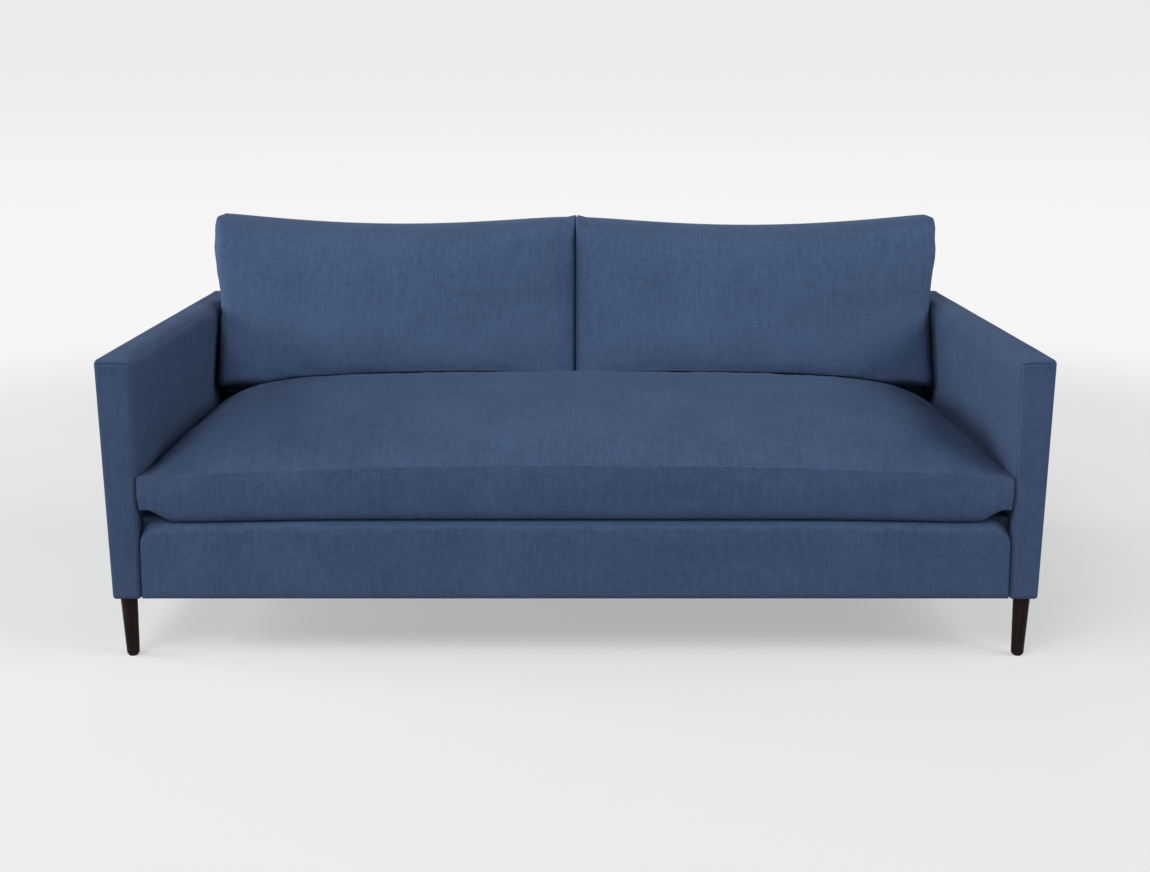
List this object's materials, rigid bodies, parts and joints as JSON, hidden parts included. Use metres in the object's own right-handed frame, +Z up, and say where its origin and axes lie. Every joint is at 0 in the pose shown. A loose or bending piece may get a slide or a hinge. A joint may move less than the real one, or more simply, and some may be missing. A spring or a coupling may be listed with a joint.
{
  "type": "sofa",
  "caption": "Square-armed upholstered sofa: arms level with the back, a loose bench seat cushion, loose back cushions and tapered turned legs.",
  "frame": {"origin": "middle of the sofa's footprint, on the floor under the glides", "axes": "+X along the sofa's width, to the right for someone looking at its front; the front faces -Y; +Z up"},
  "size_m": [2, 1.01, 0.8865],
  "materials": {
    "blue_fabric": "matte",
    "dark_wood": "satin",
    "pale_wood": "matte",
    "plywood": "matte",
    "bolt_steel": "satin",
    "spring_steel": "satin",
    "nylon": "matte",
    "foam": "matte",
    "fibre": "matte",
    "felt": "matte",
    "deck_cloth": "matte",
    "dust_cloth": "matte",
    "jute": "matte",
    "zip_tape": "matte"
  },
  "bodies": {
    "frame": {"arm_cover_left": "blue_fabric", "arm_cover_right": "blue_fabric", "arm_foam_left": "foam", "arm_foam_right": "foam", "arm_post_front_left": "pale_wood", "arm_post_front_right": "pale_wood", "arm_post_rear_left": "pale_wood", "arm_post_rear_right": "pale_wood", "arm_top_rail_left": "pale_wood", "arm_top_rail_right": "pale_wood", "back_center_upright": "pale_wood", "back_foam": "foam", "back_lower_rail": "pale_wood", "back_top_rail": "pale_wood", "back_webbing": "jute", "border_foam": "foam", "center_stretcher": "pale_wood", "corner_block_front_left": "plywood", "corner_block_front_right": "plywood", "corner_block_rear_left": "plywood", "corner_block_rear_right": "plywood", "deck_cloth": "deck_cloth", "deck_felt": "felt", "dust_cover": "dust_cloth", "front_border_cover": "blue_fabric", "front_rail": "pale_wood", "glide_front_left": "nylon", "glide_front_right": "nylon", "glide_rear_left": "nylon", "glide_rear_right": "nylon", "inside_back_cover": "blue_fabric", "leg_bolt_front_left": "bolt_steel", "leg_bolt_front_right": "bolt_steel", "leg_bolt_rear_left": "bolt_steel", "leg_bolt_rear_right": "bolt_steel", "leg_front_left": "dark_wood", "leg_front_right": "dark_wood", "leg_rear_left": "dark_wood", "leg_rear_right": "dark_wood", "outside_back_cover": "blue_fabric", "rear_rail": "pale_wood", "seat_spring_1": "spring_steel", "seat_spring_2": "spring_steel", "seat_spring_3": "spring_steel", "seat_spring_4": "spring_steel", "seat_spring_5": "spring_steel", "seat_spring_6": "spring_steel", "seat_spring_7": "spring_steel", "seat_spring_8": "spring_steel", "side_rail_left": "pale_wood", "side_rail_right": "pale_wood"},
    "seat_cushion": {"seat_cushion_cover": "blue_fabric", "seat_cushion_core": "fibre", "seat_cushion_zip": "zip_tape"},
    "back_cushion_left": {"back_cushion_cover_left": "blue_fabric", "back_cushion_core_left": "fibre", "back_cushion_zip_left": "zip_tape"},
    "back_cushion_right": {"back_cushion_cover_right": "blue_fabric", "back_cushion_core_right": "fibre", "back_cushion_zip_right": "zip_tape"}
  },
  "joints": [
    {"name": "seat_cushion_slide", "type": "slide", "parent": "frame", "child": "seat_cushion", "axis": [0, -1, 0], "range_m": [0, 0.8]},
    {"name": "back_cushion_left_lift", "type": "slide", "parent": "frame", "child": "back_cushion_left", "axis": [0, 0, 1], "range_m": [0, 0.45]},
    {"name": "back_cushion_right_lift", "type": "slide", "parent": "frame", "child": "back_cushion_right", "axis": [0, 0, 1], "range_m": [0, 0.45]}
  ]
}
